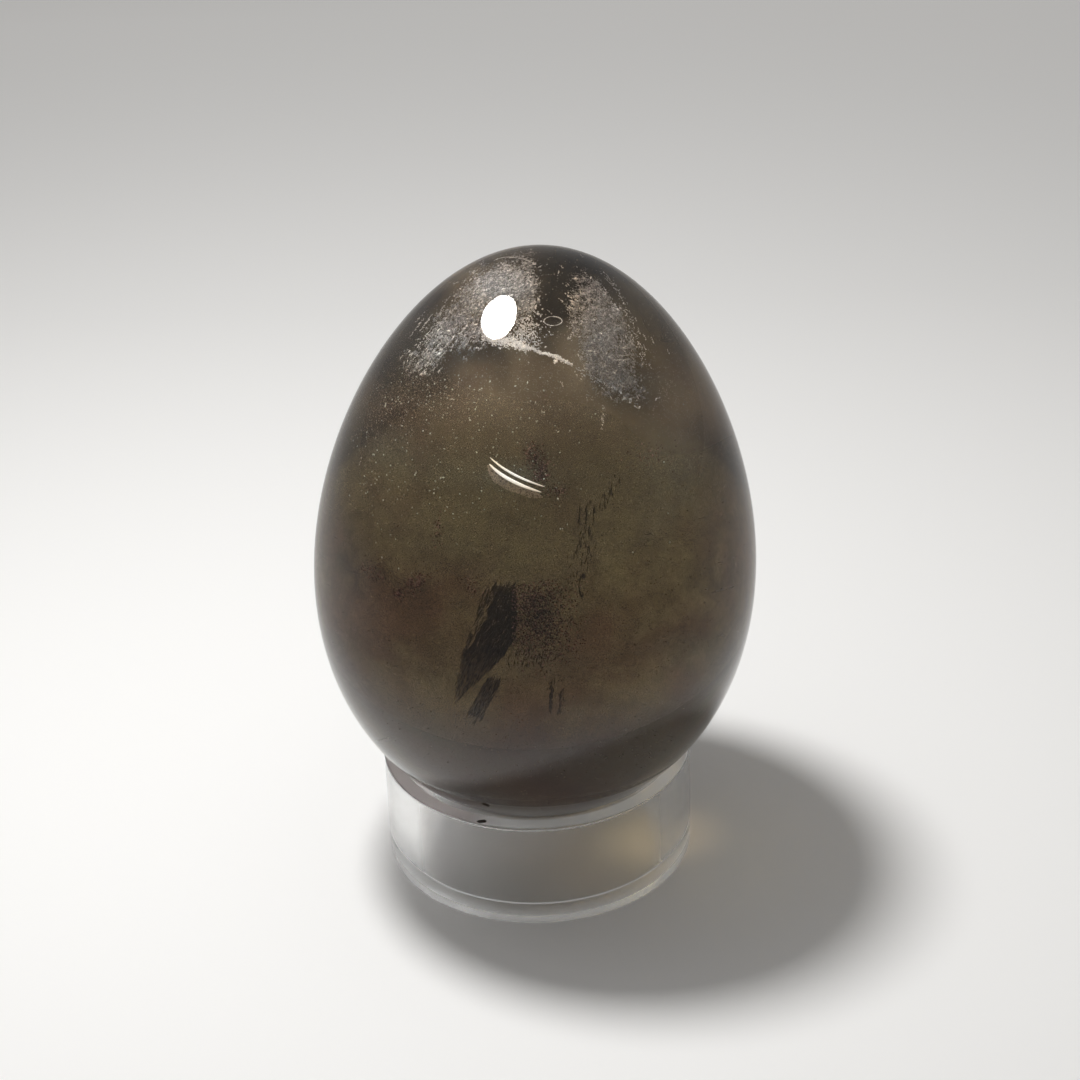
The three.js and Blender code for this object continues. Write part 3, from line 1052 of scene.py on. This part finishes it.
# The light: a lamp high on the left, an oval card beside it that only polished
# surfaces mirror, and an even grey room.
LAMP_TURN = math.radians(-63)
LAMP_RISE = math.radians(73.3)
LAMP_AWAY = 0.2
LAMP_SIZE = 0.0425
LAMP_POWER = 0.42
CARD_AWAY = 0.45
CARD_TURN = math.radians(-78.4)
CARD_RISE = math.radians(66.1)
CARD_HALVES = (0.188, 0.269)  # of its distance
CARD_ROLL = math.radians(110.6)
CARD_SIDES = 64
CARD_GLOW = 40
EGG_CROWN = np.array([-0.0017, -0.007, 0.059])  # where the egg mirrors the card
ROOM = (0.284, 0.28, 0.276, 1)


def facing(turn, rise):
    """Unit directions across, up and towards a light at that turn and rise.

    The turn is taken from straight ahead, towards the right."""
    level_share = math.cos(rise)
    towards = np.array([math.sin(turn) * level_share, math.cos(turn) * level_share, math.sin(rise)])
    across = np.cross([0, 0, 1], towards)
    across /= np.linalg.norm(across)
    return across, np.cross(towards, across), towards


bulb = bpy.data.lights.new("lamp", "AREA")
bulb.shape = "DISK"
bulb.size = LAMP_SIZE
bulb.energy = LAMP_POWER
lamp = bpy.data.objects.new("lamp", bulb)
across, rising, towards = facing(LAMP_TURN, LAMP_RISE)
lamp.matrix_world = placement(across, rising, towards, AIM + LAMP_AWAY * towards)
lamp.visible_glossy = False
bpy.context.scene.collection.objects.link(lamp)

across, rising, towards = facing(CARD_TURN, CARD_RISE)
turns = once_round(CARD_SIDES)
ellipse = np.stack([CARD_HALVES[0] * np.cos(turns), CARD_HALVES[1] * np.sin(turns)], 1) * CARD_AWAY
rolled = ellipse @ np.array([
    [math.cos(CARD_ROLL), math.sin(CARD_ROLL)],
    [-math.sin(CARD_ROLL), math.cos(CARD_ROLL)],
])
card_corners = EGG_CROWN + CARD_AWAY * towards + rolled[:, :1] * across + rolled[:, 1:] * rising
card_material = bpy.data.materials.new("glowing_card")
card_material.use_nodes = True
card_nodes = card_material.node_tree.nodes
card_nodes.remove(card_nodes["Principled BSDF"])
glow = card_nodes.new("ShaderNodeEmission")
glow.inputs["Strength"].default_value = CARD_GLOW
card_material.node_tree.links.new(
    glow.outputs["Emission"], card_nodes["Material Output"].inputs["Surface"])
card = flat_piece("card", card_corners.tolist(), card_material)
card.visible_diffuse = False
card.visible_shadow = False

world = bpy.data.worlds.new("room")
world.use_nodes = True
world.node_tree.nodes["Background"].inputs["Color"].default_value = ROOM
bpy.context.scene.world = world
bpy.context.scene.view_settings.view_transform = "Standard"

# A grey card lies on the sheet all round the ring, and fades out towards the ring
# and towards the back. Only polished surfaces mirror it: it keeps the pale
# sheet's glare off the stone.
FLAG_STARTS = (0.025, 0.07)  # where it starts and where it is full, from the ring's middle
FLAG_FRONT = (0.03, -0.06)  # where it starts to be heavier and where it is heaviest, along Y
FLAG_BACK = 0.5  # its weight at the back
FLAG_REACH = 1.3
FLAG_RISE = 0.001
FLAG_BLACK = (0, 0, 0, 1)
FLAG_GREY = (1, 0.945, 0.885, 1)
FLAG_GLOW = 0.28


def fade_in(tree, where, reach, low):
    """A soft rise from low to 1 over a reach of a socket's value."""
    fade = tree.nodes.new("ShaderNodeMapRange")
    fade.interpolation_type = "SMOOTHSTEP"
    fade.inputs["From Min"].default_value, fade.inputs["From Max"].default_value = reach
    fade.inputs["To Min"].default_value = low
    tree.links.new(where, fade.inputs["Value"])
    return fade.outputs["Result"]


def flag_material():
    """A card that gives an even grey light, as thick as its distance and its side ask."""
    material, tree, shader = new_material(
        "grey_card", Base_Color=FLAG_BLACK, Specular_IOR_Level=0.0, Emission_Color=FLAG_GREY,
        Emission_Strength=FLAG_GLOW)
    place, axes = tree.nodes.new("ShaderNodeTexCoord"), tree.nodes.new("ShaderNodeSeparateXYZ")
    away = tree.nodes.new("ShaderNodeVectorMath")
    away.operation = "LENGTH"
    tree.links.new(place.outputs["Object"], axes.inputs["Vector"])
    tree.links.new(place.outputs["Object"], away.inputs[0])
    tree.links.new(together(
        tree, "MULTIPLY", fade_in(tree, away.outputs["Value"], FLAG_STARTS, 0),
        fade_in(tree, axes.outputs["Y"], FLAG_FRONT, FLAG_BACK)), shader.inputs["Alpha"])
    return material


flag = flat_piece("flag", square(FLAG_REACH, FLAG_RISE), flag_material())
flag.visible_camera = False
flag.visible_diffuse = False
flag.visible_transmission = False
flag.visible_shadow = False
